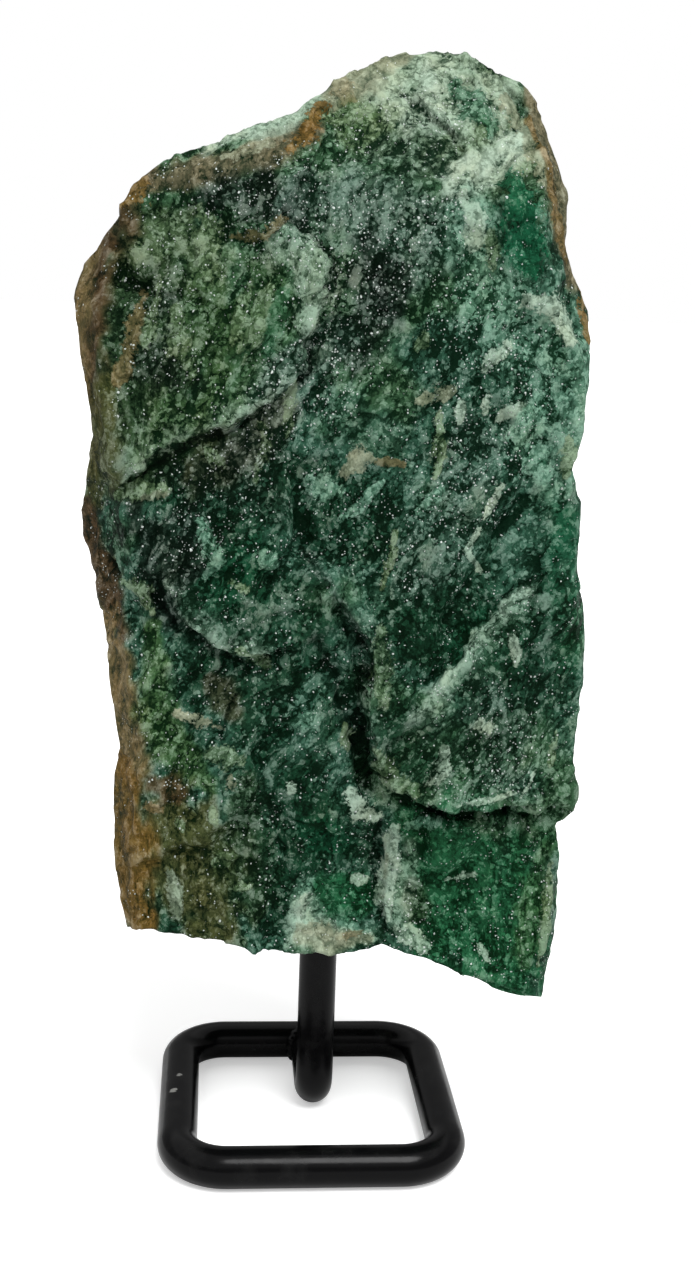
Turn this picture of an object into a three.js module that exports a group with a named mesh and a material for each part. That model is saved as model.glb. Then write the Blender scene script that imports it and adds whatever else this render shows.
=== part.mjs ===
// A rough block of green aventurine on its black metal stand.
// Millimetres, +Z up, the table at z = 0, the viewer on the -Y side.
// The origin is on the table under the middle of the whole object.
import * as THREE from "three";

const { clamp, lerp, smoothstep } = THREE.MathUtils;

// Stand: a square ring and an L-shaped post, both bent from round bar
const BAR_DIAMETER = 8;
const RING_SIZE = 62;
const RING_CORNER_RADIUS = 10; // of the bar's centre line
const RING_CENTRE = [-0.75, 0];
const POST_DIAMETER = 7.8;
const POST_PLACE = [0.75, 2.5];
const POST_BEND_RADIUS = 5;
const GAP = 0.35; // between pieces that touch
const BAR_SIDES = 16;
const BEND_STEPS = 6;

// Stone: depths of its front and back, and the hole that takes the post
const FRONT_FACE = -18;
const BACK_FACE = 27;
const HOLE_DEPTH = 28;
const BACK_INSET = 0.07; // how far the side faces lean in towards the back, as a share of the width

// Outline of the stone from the front. The sides give x at a height z, the crest and the underside give z at x.
const LEFT_SIDE = [
  [48.5, -38], [58, -40.5], [77, -40.5], [84, -39], [97, -42.2], [105, -43], [119, -45.5], [124, -46.5],
  [129, -46.5], [144, -44.2], [160, -47.3], [168, -48.5], [174, -46.8], [182, -40], [188, -37.5], [192, -32.5],
];
const RIGHT_SIDE = [
  [33, 44.5], [41, 45.7], [56, 47], [62.5, 45.8], [71, 45.5], [73, 47.9], [78, 46.8], [84, 45.5], [94, 47.3],
  [102, 48.7], [112, 48.7], [122, 45.4], [134, 43.7], [141, 42.8], [147, 45.3], [156, 46.5], [169, 47.1],
  [174, 43.7], [180, 41], [190, 41.8], [199, 38.5], [203, 36.8], [207.5, 36.2], [210.5, 34],
];
const UNDERSIDE = [
  [-38, 48.5], [-33.5, 49.8], [-26, 47.5], [-18.5, 45.7], [-14.5, 44.5], [-6.5, 44.3], [5.5, 44], [9.5, 44.7],
  [12, 46], [15, 44.7], [23, 42.2], [31.5, 40], [37.5, 37.2], [41.5, 36.4], [44.5, 33],
];
const CREST = [
  [-32.5, 192], [-28.5, 194.2], [-23.5, 195.5], [-18.5, 198.3], [-15, 199.5], [-10, 201.3], [-4.5, 205.5],
  [1, 210.5], [6.5, 213.4], [11, 214.4], [15.5, 215], [20.5, 214.8], [25, 213.5], [29, 211.2], [34, 210.5],
];

// Where the front face ends: at a sloping crown above, and at bevels on its left and right
const CROWN_LINE = [[-38.5, 183], [-32.5, 190], [-14.5, 192], [1.5, 190], [13.5, 190], [25.5, 189], [33.5, 186]];
const CROWN_SLOPE = 0.72;
const LEFT_BEVEL = [
  [50, -35.5], [56, -36.5], [80, -34.7], [92, -35.7], [101, -33.9], [110, -34.9], [125, -38.5], [140, -41.5],
  [165, -44], [185, -38.5],
];
const RIGHT_BEVEL = [
  [33, 43], [60, 44.5], [75, 47], [100, 47.5], [120, 44.5], [137, 43], [150, 44.5], [160, 44], [165, 40.5],
  [172, 38], [188, 33.8], [203, 26.5], [212, 19.5],
];
const BEVEL_SLOPE = 1.4;

// Fracture planes of the back, each as [share of x, share of z, reach]: y stays under reach + share of x and z
const BACK_PLANES = [
  [0, 0, BACK_FACE],
  [0.83, -1, 209],
  [-0.6, 0, 39],
  [0.7, 0, 41],
  [0, -1, 217],
  [0.1, 0.25, 13],
];

// Broken ledges. Each is raised on the left of its line's travel, by height, and fades away over reach behind it.
const STEP_WIDTH = 4.5;
const END_TAPER = 8;
const UPPER_PLATE = {
  line: [[-42.5, 134], [-27.5, 144], [-11.5, 151.5], [-7.5, 157], [-3.8, 169], [-3, 176], [-15.5, 186]],
  height: 3.6,
  reach: 24,
};
const RIGHT_BULGE = {
  line: [
    [-6.5, 122.5], [-0.1, 116], [5.5, 107], [5.7, 96], [7, 87.5], [9.5, 79], [21.5, 75.7], [36.5, 74.5], [57.5, 77],
  ],
  height: 6,
  reach: 42,
};
const DIAGONAL_LEDGE = {
  line: [[43.5, 125], [32.5, 116], [25.5, 108], [20, 102], [11.5, 90]],
  height: 2.4,
  reach: 22,
};
const LEFT_PLATE = {
  line: [[-33.5, 121], [-30.5, 112.7], [-27.5, 108], [-18.5, 103.5], [-4.5, 106]],
  height: 2.8,
  reach: 18,
};
const LOWER_RIGHT_BLOCK = {
  line: [[13.5, 36], [11, 47], [11.5, 58], [12.5, 67], [13, 73]],
  height: -2,
  reach: 30,
};
const CROWN_CRACK = {
  line: [[9.5, 208], [16.5, 201], [23.5, 193]],
  height: 2.5,
  reach: 8,
};
const FRONT_LEDGES = [UPPER_PLATE, RIGHT_BULGE, DIAGONAL_LEDGE, LEFT_PLATE, LOWER_RIGHT_BLOCK, CROWN_CRACK];
const BACK_LEDGES = [
  { line: [[-34.5, 150], [-10.5, 128], [9.5, 120], [25.5, 98], [47.5, 92]], height: 4, reach: 34 },
  { line: [[31.5, 182], [17.5, 160], [21.5, 140], [41.5, 128]], height: 3, reach: 24 },
  { line: [[-36.5, 92], [-16.5, 84], [-4.5, 66], [-8.5, 44]], height: 3, reach: 22 },
];

// Facets broken into the whole skin. Each kind fills space with cells of one size, and each cell is a plane of its
// own tilt, up to the one given. They are stretched along the grain, which rises to the right.
const FACET_KINDS = [
  { size: 17, tilt: 0.2 },
  { size: 7.5, tilt: 0.2 },
];
const GRAIN_ANGLE = (60 * Math.PI) / 180;
const GRAIN_STRETCH = 1.6;
const FACET_EDGE = 14; // how crisply one facet meets the next
const EDGE_STEPS = 3; // steps of the net over which facets come in beside a front edge

// Steps of the stone's net: along the front, a side and the back, and up its height
const FRONT_STEPS = 36;
const SIDE_STEPS = 6;
const BACK_STEPS = 18;
const HEIGHT_STEPS = 56;

const PAINTED_STEEL = new THREE.MeshStandardMaterial({ color: 0x141414, roughness: 0.35, metalness: 0.2 });
const AVENTURINE = new THREE.MeshStandardMaterial({
  color: 0x3a6650,
  roughness: 0.55,
  metalness: 0,
  flatShading: true,
});

// Value at q of the broken line through [q, value] points, held past its ends
function along(points, q) {
  const next = points.findIndex(([at]) => at > q);
  if (next === 0) return points[0][1];
  if (next < 0) return points[points.length - 1][1];
  const [[a, from], [b, to]] = [points[next - 1], points[next]];
  return lerp(from, to, (q - a) / (b - a));
}

// A surface built row by row. add() takes a row of points and gives their numbers, join() fills the strip between
// two rows, walking both by their shares of the way, so rows may differ in length or be a single point.
class Net {
  points = [];
  faces = [];

  add(row) {
    return row.map((point) => this.points.push(point) - 1);
  }

  join(lower, upper) {
    const [lowerSteps, upperSteps] = [lower.length - 1, upper.length - 1];
    let [i, j] = [0, 0];
    while (i < lowerSteps || j < upperSteps) {
      if (i < lowerSteps && (i + 1) * upperSteps <= (j + 1) * lowerSteps) {
        this.faces.push(lower[i], lower[i + 1], upper[j]);
        i += 1;
      } else {
        this.faces.push(lower[i], upper[j + 1], upper[j]);
        j += 1;
      }
    }
  }

  // Joins each row to the next, as loops, where a row of one point closes an end
  sleeve(rows) {
    const loops = rows.map((row) => (row.length > 1 ? [...row, row[0]] : row));
    loops.slice(1).forEach((loop, i) => this.join(loops[i], loop));
  }

  geometry() {
    return new THREE.BufferGeometry().setFromPoints(this.points).setIndex(this.faces);
  }
}

// Loop of points round a bar whose flats face along its two axes. The first axis turned to the second by the right
// hand gives the bar's direction.
function barSection(centre, first, second, diameter) {
  const reach = diameter / 2 / Math.cos(Math.PI / BAR_SIDES);
  return Array.from({ length: BAR_SIDES }, (_, i) => {
    const turn = ((i + 0.5) / BAR_SIDES) * 2 * Math.PI;
    return centre
      .clone()
      .addScaledVector(first, reach * Math.cos(turn))
      .addScaledVector(second, reach * Math.sin(turn));
  });
}

// Closed square ring of round bar lying on the table: straight sides joined by quarter bends
function ringGeometry() {
  const bend = RING_CORNER_RADIUS;
  const straight = (RING_SIZE - BAR_DIAMETER) / 2 - bend;
  const rows = [];
  for (let corner = 0; corner < 4; corner++) {
    for (let step = 0; step <= BEND_STEPS; step++) {
      const turn = ((corner + step / BEND_STEPS) * Math.PI) / 2;
      const quarter = ((corner + 0.5) * Math.PI) / 2;
      const outward = new THREE.Vector3(Math.cos(turn), Math.sin(turn), 0);
      const centre = new THREE.Vector3(
        RING_CENTRE[0] + straight * Math.sign(Math.cos(quarter)) + bend * outward.x,
        RING_CENTRE[1] + straight * Math.sign(Math.sin(quarter)) + bend * outward.y,
        BAR_DIAMETER / 2,
      );
      rows.push(barSection(centre, new THREE.Vector3(0, 0, 1), outward, BAR_DIAMETER));
    }
  }
  const net = new Net();
  const loops = rows.map((row) => net.add(row));
  net.sleeve([...loops, loops[0]]);
  return net.geometry();
}

// L-shaped bar: from its top in the stone down to the bend, then back along the table to the ring's back side
function postGeometry(top) {
  const [x, y] = POST_PLACE;
  const rest = POST_DIAMETER / 2;
  const across = new THREE.Vector3(-1, 0, 0);
  const backBar = RING_CENTRE[1] + (RING_SIZE - BAR_DIAMETER) / 2;
  const rows = [];
  const addRow = (atY, atZ, turn) => {
    const out = new THREE.Vector3(0, Math.cos(turn), Math.sin(turn));
    rows.push(barSection(new THREE.Vector3(x, atY, atZ), across, out, POST_DIAMETER));
  };
  const bendTop = rest + POST_BEND_RADIUS;
  [1, 0.75, 0.5, 0.25].forEach((share) => addRow(y, lerp(bendTop, top, share), 0));
  for (let step = 0; step <= BEND_STEPS; step++) {
    const turn = ((step / BEND_STEPS) * Math.PI) / 2;
    const reach = POST_BEND_RADIUS;
    addRow(y + reach * (1 - Math.cos(turn)), bendTop - reach * Math.sin(turn), turn);
  }
  const reachOfBar = BAR_DIAMETER / 2 / Math.cos(Math.PI / BAR_SIDES);
  const end = backBar - reachOfBar - GAP;
  addRow(end, rest, Math.PI / 2);
  const net = new Net();
  const [topMiddle, endMiddle] = net.add([new THREE.Vector3(x, y, top), new THREE.Vector3(x, end, rest)]);
  net.sleeve([[topMiddle], ...rows.map((row) => net.add(row)), [endMiddle]]);
  return net.geometry();
}

// Height of a broken ledge at (x, z): full just behind its line, fading over its reach, nothing in front of the
// line or beyond its two ends
function ledgeHeight({ line, height, reach }, x, z) {
  let nearest = Infinity;
  let side = 1;
  let place = 0;
  let length = 0;
  for (let i = 1; i < line.length; i++) {
    const [ax, az] = line[i - 1];
    const [runX, runZ] = [line[i][0] - ax, line[i][1] - az];
    const run = Math.hypot(runX, runZ);
    const share = clamp(((x - ax) * runX + (z - az) * runZ) / run ** 2, 0, 1);
    const distance = Math.hypot(x - ax - share * runX, z - az - share * runZ);
    if (distance < nearest) {
      nearest = distance;
      side = Math.sign(runX * (z - az) - runZ * (x - ax));
      place = length + share * run;
    }
    length += run;
  }
  const behind = side * nearest;
  const ends = smoothstep(Math.min(place, length - place), 0, END_TAPER);
  const rise = smoothstep(behind, -STEP_WIDTH / 2, STEP_WIDTH / 2);
  return height * ends * rise * Math.exp(-Math.max(behind, 0) / reach);
}

const ledges = (list, x, z) => list.reduce((sum, ledge) => sum + ledgeHeight(ledge, x, z), 0);

// Depth of the front at (x, z): the face, cut back by the crown and the bevels, less the ledges that stand on it
function frontDepth(x, z) {
  const crown = CROWN_SLOPE * (z - along(CROWN_LINE, x));
  const left = BEVEL_SLOPE * (along(LEFT_BEVEL, z) - x);
  const right = BEVEL_SLOPE * (x - along(RIGHT_BEVEL, z));
  return FRONT_FACE + Math.max(0, crown, left, right) - ledges(FRONT_LEDGES, x, z);
}

// Depth of the back at (x, z): the nearest of its fracture planes
function backDepth(x, z) {
  const planes = BACK_PLANES.map(([shareX, shareZ, reach]) => shareX * x + shareZ * z + reach);
  return Math.min(...planes) + ledges(BACK_LEDGES, x, z);
}

// Place on the outline's net: across runs 0 to 1 from left to right, up runs 0 to 1 from underside to crest.
// The four outline curves are blended, less the blend of the four corners.
function outlinePlace(across, up) {
  const side = (points) => {
    const z = lerp(points[0][0], points[points.length - 1][0], up);
    return [along(points, z), z];
  };
  const level = (points) => {
    const x = lerp(points[0][0], points[points.length - 1][0], across);
    return [x, along(points, x)];
  };
  const [left, right, under, crest] = [side(LEFT_SIDE), side(RIGHT_SIDE), level(UNDERSIDE), level(CREST)];
  const corner = (points, last) => [...points[last ? points.length - 1 : 0]];
  const [lowLeft, lowRight] = [corner(UNDERSIDE, false), corner(UNDERSIDE, true)];
  const [highLeft, highRight] = [corner(CREST, false), corner(CREST, true)];
  return [0, 1].map(
    (k) =>
      lerp(left[k], right[k], across) +
      lerp(under[k], crest[k], up) -
      lerp(lerp(lowLeft[k], lowRight[k], across), lerp(highLeft[k], highRight[k], across), up),
  );
}

// Number from 0 to 1 that is always the same for the same cell and turn
const chance = (cell, turn) => {
  const mixed = Math.sin(cell.x * 127.1 + cell.y * 311.7 + cell.z * 74.7 + turn * 53.3) * 43758.5453;
  return mixed - Math.floor(mixed);
};

// Height of the broken facets at a point: the planes of the cells round it, each weighted by how near its middle is
function facetHeight(point, { size, tilt }) {
  const along = (point.x * Math.cos(GRAIN_ANGLE) + point.z * Math.sin(GRAIN_ANGLE)) / GRAIN_STRETCH;
  const cross = point.z * Math.cos(GRAIN_ANGLE) - point.x * Math.sin(GRAIN_ANGLE);
  const place = new THREE.Vector3(along, point.y, cross).divideScalar(size);
  const home = place.clone().floor();
  let [sum, weights] = [0, 0];
  for (let turn = 0; turn < 27; turn++) {
    const step = new THREE.Vector3((turn % 3) - 1, (Math.floor(turn / 3) % 3) - 1, Math.floor(turn / 9) - 1);
    const cell = home.clone().add(step);
    const from = new THREE.Vector3(chance(cell, 1), chance(cell, 2), chance(cell, 3)).add(cell).sub(place);
    const lean = new THREE.Vector3(chance(cell, 4), chance(cell, 5), chance(cell, 6)).subScalar(0.5);
    const weight = Math.exp(-FACET_EDGE * from.lengthSq());
    sum += weight * lean.dot(from);
    weights += weight;
  }
  return (2 * tilt * size * sum) / weights;
}

// The loop with the facets broken into it, each point moved square to the loop as seen from above. The two front
// edges stay as the outline has them, and the facets come in over a few steps beside them.
function brokenLoop(loop) {
  return loop.map((point, i) => {
    const ahead = loop[(i + 1) % loop.length];
    const behind = loop[(i + loop.length - 1) % loop.length];
    const out = new THREE.Vector3(ahead.y - behind.y, behind.x - ahead.x, 0).normalize();
    const steps = Math.min(i, Math.abs(i - FRONT_STEPS), loop.length - i);
    const height = FACET_KINDS.reduce((total, kind) => total + facetHeight(point, kind), 0);
    return point.clone().addScaledVector(out, height * smoothstep(steps, 0, EDGE_STEPS));
  });
}

// Loop of the stone's skin at one height, run round from the front left: front, right side, back, left side
function stoneLoop(up) {
  const at = (across, depth) => {
    const [x, z] = outlinePlace(across, up);
    return new THREE.Vector3(x, depth(x, z), z);
  };
  const between = (a, b, steps, place) => Array.from({ length: steps }, (_, i) => place(lerp(a, b, i / steps)));
  const backLeft = at(BACK_INSET, backDepth);
  const backRight = at(1 - BACK_INSET, backDepth);
  const frontLeft = at(0, frontDepth);
  const frontRight = at(1, frontDepth);
  return [
    ...between(0, 1, FRONT_STEPS, (across) => at(across, frontDepth)),
    ...between(0, 1, SIDE_STEPS, (share) => frontRight.clone().lerp(backRight, share)),
    ...between(1 - BACK_INSET, BACK_INSET, BACK_STEPS, (across) => at(across, backDepth)),
    ...between(0, 1, SIDE_STEPS, (share) => backLeft.clone().lerp(frontLeft, share)),
  ];
}

// Strips across the crest, from the loop's front edge to its back edge, each starting and ending on the side edges
function closeCrest(net, loop) {
  const rightStart = FRONT_STEPS;
  const backStart = rightStart + SIDE_STEPS;
  const leftStart = backStart + BACK_STEPS;
  const point = (i) => net.points[loop[i % loop.length]];
  const backPoint = (share) => {
    const place = (1 - share) * BACK_STEPS;
    const i = Math.min(Math.floor(place), BACK_STEPS - 1);
    return point(backStart + i).clone().lerp(point(backStart + i + 1), place - i);
  };
  let lower = loop.slice(0, rightStart + 1);
  for (let step = 1; step < SIDE_STEPS; step++) {
    const inner = Array.from({ length: FRONT_STEPS - 1 }, (_, i) =>
      point(i + 1).clone().lerp(backPoint((i + 1) / FRONT_STEPS), step / SIDE_STEPS),
    );
    const left = loop[(leftStart + SIDE_STEPS - step) % loop.length];
    const upper = [left, ...net.add(inner), loop[rightStart + step]];
    net.join(lower, upper);
    lower = upper;
  }
  net.join(lower, loop.slice(backStart, leftStart + 1).reverse());
}

// The stone: the blind end and the wall of its drilled hole, its underside, its sides and its crest
function stoneGeometry() {
  const [holeX, holeY] = POST_PLACE;
  const holeRadius = POST_DIAMETER / 2 / Math.cos(Math.PI / BAR_SIDES) + GAP;
  const mouth = along(UNDERSIDE, holeX);
  const blindEnd = mouth + HOLE_DEPTH;
  const loops = Array.from({ length: HEIGHT_STEPS + 1 }, (_, j) => stoneLoop(j / HEIGHT_STEPS));
  const skin = loops.map(brokenLoop);
  const edge = skin[0];
  const rim = edge.map((p) => {
    const out = new THREE.Vector2(p.x - holeX, p.y - holeY).setLength(holeRadius);
    return new THREE.Vector3(holeX + out.x, holeY + out.y, mouth);
  });
  const underside = [0.25, 0.5, 0.75].map((share) =>
    rim.map((p, i) => {
      const place = p.clone().lerp(edge[i], share);
      const level = lerp(along(UNDERSIDE, place.x), edge[i].z, share);
      return place.setZ(lerp(mouth, level, smoothstep(share, 0, 0.5)));
    }),
  );
  const net = new Net();
  const middle = net.add([new THREE.Vector3(holeX, holeY, blindEnd)]);
  const rows = [rim.map((p) => p.clone().setZ(blindEnd)), rim, ...underside, ...skin].map((row) => net.add(row));
  net.sleeve([middle, ...rows]);
  closeCrest(net, rows[rows.length - 1]);
  return net.geometry();
}

function addPiece(group, name, geometry, material) {
  geometry.computeVertexNormals();
  const mesh = new THREE.Mesh(geometry, material);
  mesh.name = name;
  group.add(mesh);
}

const object = new THREE.Group();
const postTop = along(UNDERSIDE, POST_PLACE[0]) + HOLE_DEPTH - GAP;
addPiece(object, "base_ring", ringGeometry(), PAINTED_STEEL);
addPiece(object, "post", postGeometry(postTop), PAINTED_STEEL);
addPiece(object, "stone", stoneGeometry(), AVENTURINE);

export default object;
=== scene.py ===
import math

import bpy
import numpy as np
from mathutils import Matrix, Vector


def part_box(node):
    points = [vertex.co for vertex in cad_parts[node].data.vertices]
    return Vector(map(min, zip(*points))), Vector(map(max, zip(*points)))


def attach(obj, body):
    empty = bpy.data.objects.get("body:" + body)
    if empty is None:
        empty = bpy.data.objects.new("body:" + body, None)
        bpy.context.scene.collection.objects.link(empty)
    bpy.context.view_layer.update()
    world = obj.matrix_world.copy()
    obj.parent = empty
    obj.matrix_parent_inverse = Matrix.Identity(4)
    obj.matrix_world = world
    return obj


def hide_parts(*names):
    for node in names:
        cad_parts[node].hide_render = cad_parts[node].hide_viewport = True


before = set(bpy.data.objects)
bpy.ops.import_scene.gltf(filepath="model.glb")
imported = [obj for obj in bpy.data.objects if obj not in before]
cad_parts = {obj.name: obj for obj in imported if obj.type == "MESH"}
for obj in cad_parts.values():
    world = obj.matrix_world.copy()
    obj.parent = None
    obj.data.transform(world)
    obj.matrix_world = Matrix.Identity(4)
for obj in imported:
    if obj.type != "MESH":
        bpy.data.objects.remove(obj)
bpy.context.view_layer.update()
MM = 0.001  # lengths below are in millimetres, and a mesh is made in metres


# The base ring. It is one round steel bar bent to a square with rounded corners and welded shut, its joint
# dressed smooth. It lies flat on the table and is painted gloss black, with a few small chips on its left.
RING_CORNER_RADIUS = 10  # of the bar's centre line
RING_BEND_STEPS = 20
BAR_SIDES = 48
PAINT_BLACK = (0.0018, 0.0018, 0.002, 1)
DUST_GREY = (0.5, 0.5, 0.48, 1)
DUST_SHARE = 0.012  # where it lies thickest
CHIP_GREY = (0.17, 0.17, 0.16, 1)
CHIP_EDGE = 0.12
PAINT_SPECULAR = 0.09
RIPPLE_HEIGHT = 0.035
PAINT_CHIPS = [  # place and reach of each chip in the paint
    ((-28.8, -3.4, 7.8), 0.7),
    ((-27.9, 2.8, 8), 0.6),
    ((-20.7, 24.4, 6.6), 0.45),
]


def smoothstep(value, low, high):
    """0 below low, 1 above high, and between them the cubic 3s^2 - 2s^3 of the share s of the way."""
    share = np.clip((value - low) / (high - low), 0, 1)
    return share * share * (3 - 2 * share)


def add_node(tree, kind, settings=None, **inputs):
    """A shader node of that kind. A setting is one of its properties, an input a value or another node's
    output, named after its socket or, as in i0, by its number."""
    made = tree.nodes.new("ShaderNode" + kind)
    for name, value in (settings or {}).items():
        setattr(made, name, value)
    for name, value in inputs.items():
        numbered = name[0] == "i" and name[1:].isdigit()
        socket = made.inputs[int(name[1:]) if numbered else name.replace("_", " ")]
        if isinstance(value, bpy.types.NodeSocket):
            tree.links.new(value, socket)
        else:
            socket.default_value = value
    return made


def new_material(name):
    """An empty node material, its tree and its Principled shader."""
    material = bpy.data.materials.new(name)
    material.use_nodes = True
    return material, material.node_tree, material.node_tree.nodes["Principled BSDF"]


def ranged(tree, value, low, high, to_low=0.0, to_high=1.0):
    """Output that runs from to_low to to_high as the value runs from low to high, held at both ends."""
    limits = {"From_Min": low, "From_Max": high, "To_Min": to_low, "To_Max": to_high}
    return add_node(tree, "MapRange", Value=value, **limits).outputs["Result"]


def maths(tree, operation, first, second=0.5):
    """Output of one sum on two numbers."""
    return add_node(tree, "Math", {"operation": operation}, i0=first, i1=second).outputs[0]


def mixed(tree, amount, first, second, blend="MIX"):
    """Colour that goes from the first to the second as amount goes from 0 to 1."""
    made = add_node(tree, "Mix", {"data_type": "RGBA", "blend_type": blend}, i0=amount, i6=first, i7=second)
    return made.outputs[2]


def black_paint():
    """Gloss black paint: slightly rippled, dusty in patches, and chipped where PAINT_CHIPS says."""
    material, tree, shader = new_material("black_paint")
    place = add_node(tree, "TexCoord").outputs["Object"]

    def noise(scale, detail, roughness):
        made = add_node(tree, "TexNoise", Vector=place, Scale=scale, Detail=detail, Roughness=roughness)
        return made.outputs["Fac"]

    dust, ripple, ragged = noise(140.0, 5.0, 0.65), noise(260.0, 3.0, 0.5), noise(1500.0, 2.0, 0.5)
    chipped = 0.0
    for centre, reach in PAINT_CHIPS:
        centre = tuple(c * MM for c in centre)
        away = add_node(tree, "VectorMath", {"operation": "DISTANCE"}, i0=place, i1=centre).outputs["Value"]
        edge = maths(tree, "MULTIPLY", ragged, 2.2 * reach * MM)
        chip = ranged(tree, maths(tree, "SUBTRACT", edge, away), 0.0, CHIP_EDGE * MM)
        chipped = maths(tree, "MAXIMUM", chipped, chip)
    colour = mixed(tree, ranged(tree, dust, 0.5, 0.8, 0.0, DUST_SHARE), PAINT_BLACK, DUST_GREY)
    tree.links.new(mixed(tree, chipped, colour, CHIP_GREY), shader.inputs["Base Color"])
    shader.inputs["Specular IOR Level"].default_value = PAINT_SPECULAR
    tree.links.new(ranged(tree, dust, 0.3, 0.8, 0.14, 0.32), shader.inputs["Roughness"])
    height = maths(tree, "SUBTRACT", ripple, chipped)
    bump = add_node(tree, "Bump", Strength=1.0, Distance=RIPPLE_HEIGHT * MM, Height=height)
    tree.links.new(bump.outputs["Normal"], shader.inputs["Normal"])
    return material


def mesh_piece(name, points, faces, material):
    """A smooth-shaded object whose place is in its mesh. Points are in millimetres, faces lists of
    numbers."""
    mesh = bpy.data.meshes.new(name)
    mesh.from_pydata((np.asarray(points) * MM).tolist(), [], faces)
    mesh.polygons.foreach_set("use_smooth", np.ones(len(mesh.polygons), bool))
    mesh.materials.append(material)
    mesh.update()
    piece = bpy.data.objects.new(name, mesh)
    bpy.context.scene.collection.objects.link(piece)
    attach(piece, "root")
    return piece


def sleeve_faces(rows, columns, closed=False):
    """Quads between neighbouring rows of that many columns. The last row meets the first if closed."""
    row = np.arange(rows if closed else rows - 1)[:, None] * columns
    column = np.arange(columns)[None, :]
    after = (column + 1) % columns
    above = (row + columns) % (rows * columns)
    return np.stack([row + column, row + after, above + after, above + column], -1).reshape(-1, 4).tolist()


def bar_rows(centres, first, second, radius, sides=BAR_SIDES):
    """Circles round a bar's centre line: centre + radius * (cos t * first + sin t * second), with t round
    the whole turn."""
    turn = np.arange(sides) / sides * 2 * np.pi
    around = np.cos(turn)[:, None] * first[:, None] + np.sin(turn)[:, None] * second[:, None]
    return centres[:, None] + np.reshape(radius, (-1, 1, 1)) * around


def ring_rows(low, high):
    """Circles along a square ring that fills the box: quarter arcs about the four corners' centres, whose
    ends are the ends of the straight sides."""
    radius = (high[2] - low[2]) / 2
    middle = (low + high) / 2
    straight = (high[0] - low[0]) / 2 - radius - RING_CORNER_RADIUS
    quarter = np.repeat(np.arange(4), RING_BEND_STEPS + 1)
    turn = (quarter + np.tile(np.linspace(0, 1, RING_BEND_STEPS + 1), 4)) * np.pi / 2
    corner = (quarter + 0.5) * np.pi / 2
    outward = np.stack([np.cos(turn), np.sin(turn), 0 * turn], -1)
    corner_centre = straight * np.sign(np.stack([np.cos(corner), np.sin(corner), 0 * turn], -1))
    centres = middle + corner_centre + RING_CORNER_RADIUS * outward
    return bar_rows(centres, np.broadcast_to([0, 0, 1.0], centres.shape), outward, radius)


ring_low, ring_high = (np.array(corner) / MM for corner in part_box("base_ring"))
rows = ring_rows(ring_low, ring_high)
paint = black_paint()
faces = sleeve_faces(len(rows), BAR_SIDES, closed=True)
base_ring = mesh_piece("painted_ring", rows.reshape(-1, 3), faces, paint)
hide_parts("base_ring")


# The post. It is a straight piece of the same round bar with its foot bent back at a right angle. It is
# glued in the hole drilled in the stone, its foot lies on the table and ends against the ring's back side,
# and it is painted black.
POST_BEND_RADIUS = 5
POST_BEND_STEPS = 16
POST_STRAIGHT_STEPS = 24
POST_FOOT_STEPS = 8
POST_FOOT_OVERLAP = 0.6  # of the foot's end with the ring

post_low, post_high = (np.array(corner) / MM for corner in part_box("post"))
post_radius = (post_high[0] - post_low[0]) / 2
post_x = (post_low[0] + post_high[0]) / 2
post_y = post_low[1] + post_radius


def post_rows(top, end):
    """Circles down the upright, round a quarter bend in the plane x = post_x, and back to the foot's end.
    The section's second axis turns from +Y on the upright to +Z on the foot."""
    bend_top = post_radius + POST_BEND_RADIUS
    straight_z = np.linspace(top, bend_top, POST_STRAIGHT_STEPS)[:-1]
    turn = np.linspace(0, np.pi / 2, POST_BEND_STEPS + 1)
    foot_y = np.linspace(post_y + POST_BEND_RADIUS, end, POST_FOOT_STEPS)[1:]
    y = np.concatenate([0 * straight_z + post_y, post_y + POST_BEND_RADIUS * (1 - np.cos(turn)), foot_y])
    z = np.concatenate([straight_z, bend_top - POST_BEND_RADIUS * np.sin(turn), 0 * foot_y + post_radius])
    lean = np.concatenate([0 * straight_z, turn, 0 * foot_y + np.pi / 2])
    centres = np.stack([0 * y + post_x, y, z], -1)
    out = np.stack([0 * lean, np.cos(lean), np.sin(lean)], -1)
    return bar_rows(centres, np.broadcast_to([-1.0, 0, 0], centres.shape), out, post_radius)


def capped(rows):
    """Points and faces of a sleeve whose two ends are closed by a fan round their middles."""
    count = len(rows) * BAR_SIDES
    points = np.concatenate([rows.reshape(-1, 3), rows[:1].mean(1), rows[-1:].mean(1)])
    ring = np.arange(BAR_SIDES)
    after = (ring + 1) % BAR_SIDES
    start = np.stack([0 * ring + count, after, ring], -1).tolist()
    end = np.stack([0 * ring + count + 1, ring + count - BAR_SIDES, after + count - BAR_SIDES], -1).tolist()
    return points, sleeve_faces(len(rows), BAR_SIDES) + start + end


points, faces = capped(post_rows(post_high[2], post_high[1] + POST_FOOT_OVERLAP))
post = mesh_piece("painted_post", points, faces, paint)
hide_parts("post")


# The weld. It is one short lumpy bead laid round the foot's end where it meets the ring, and painted over.
WELD_REACH = 1.3
WELD_STEPS = 72
WELD_SIDES = 14
WELD_RIPPLES = 19
WELD_SADDLE = 0.8  # least distance of the bead's line from the ring's middle
WELD_FLOOR = 0.02  # keeps the bead's underside just off the table


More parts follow.
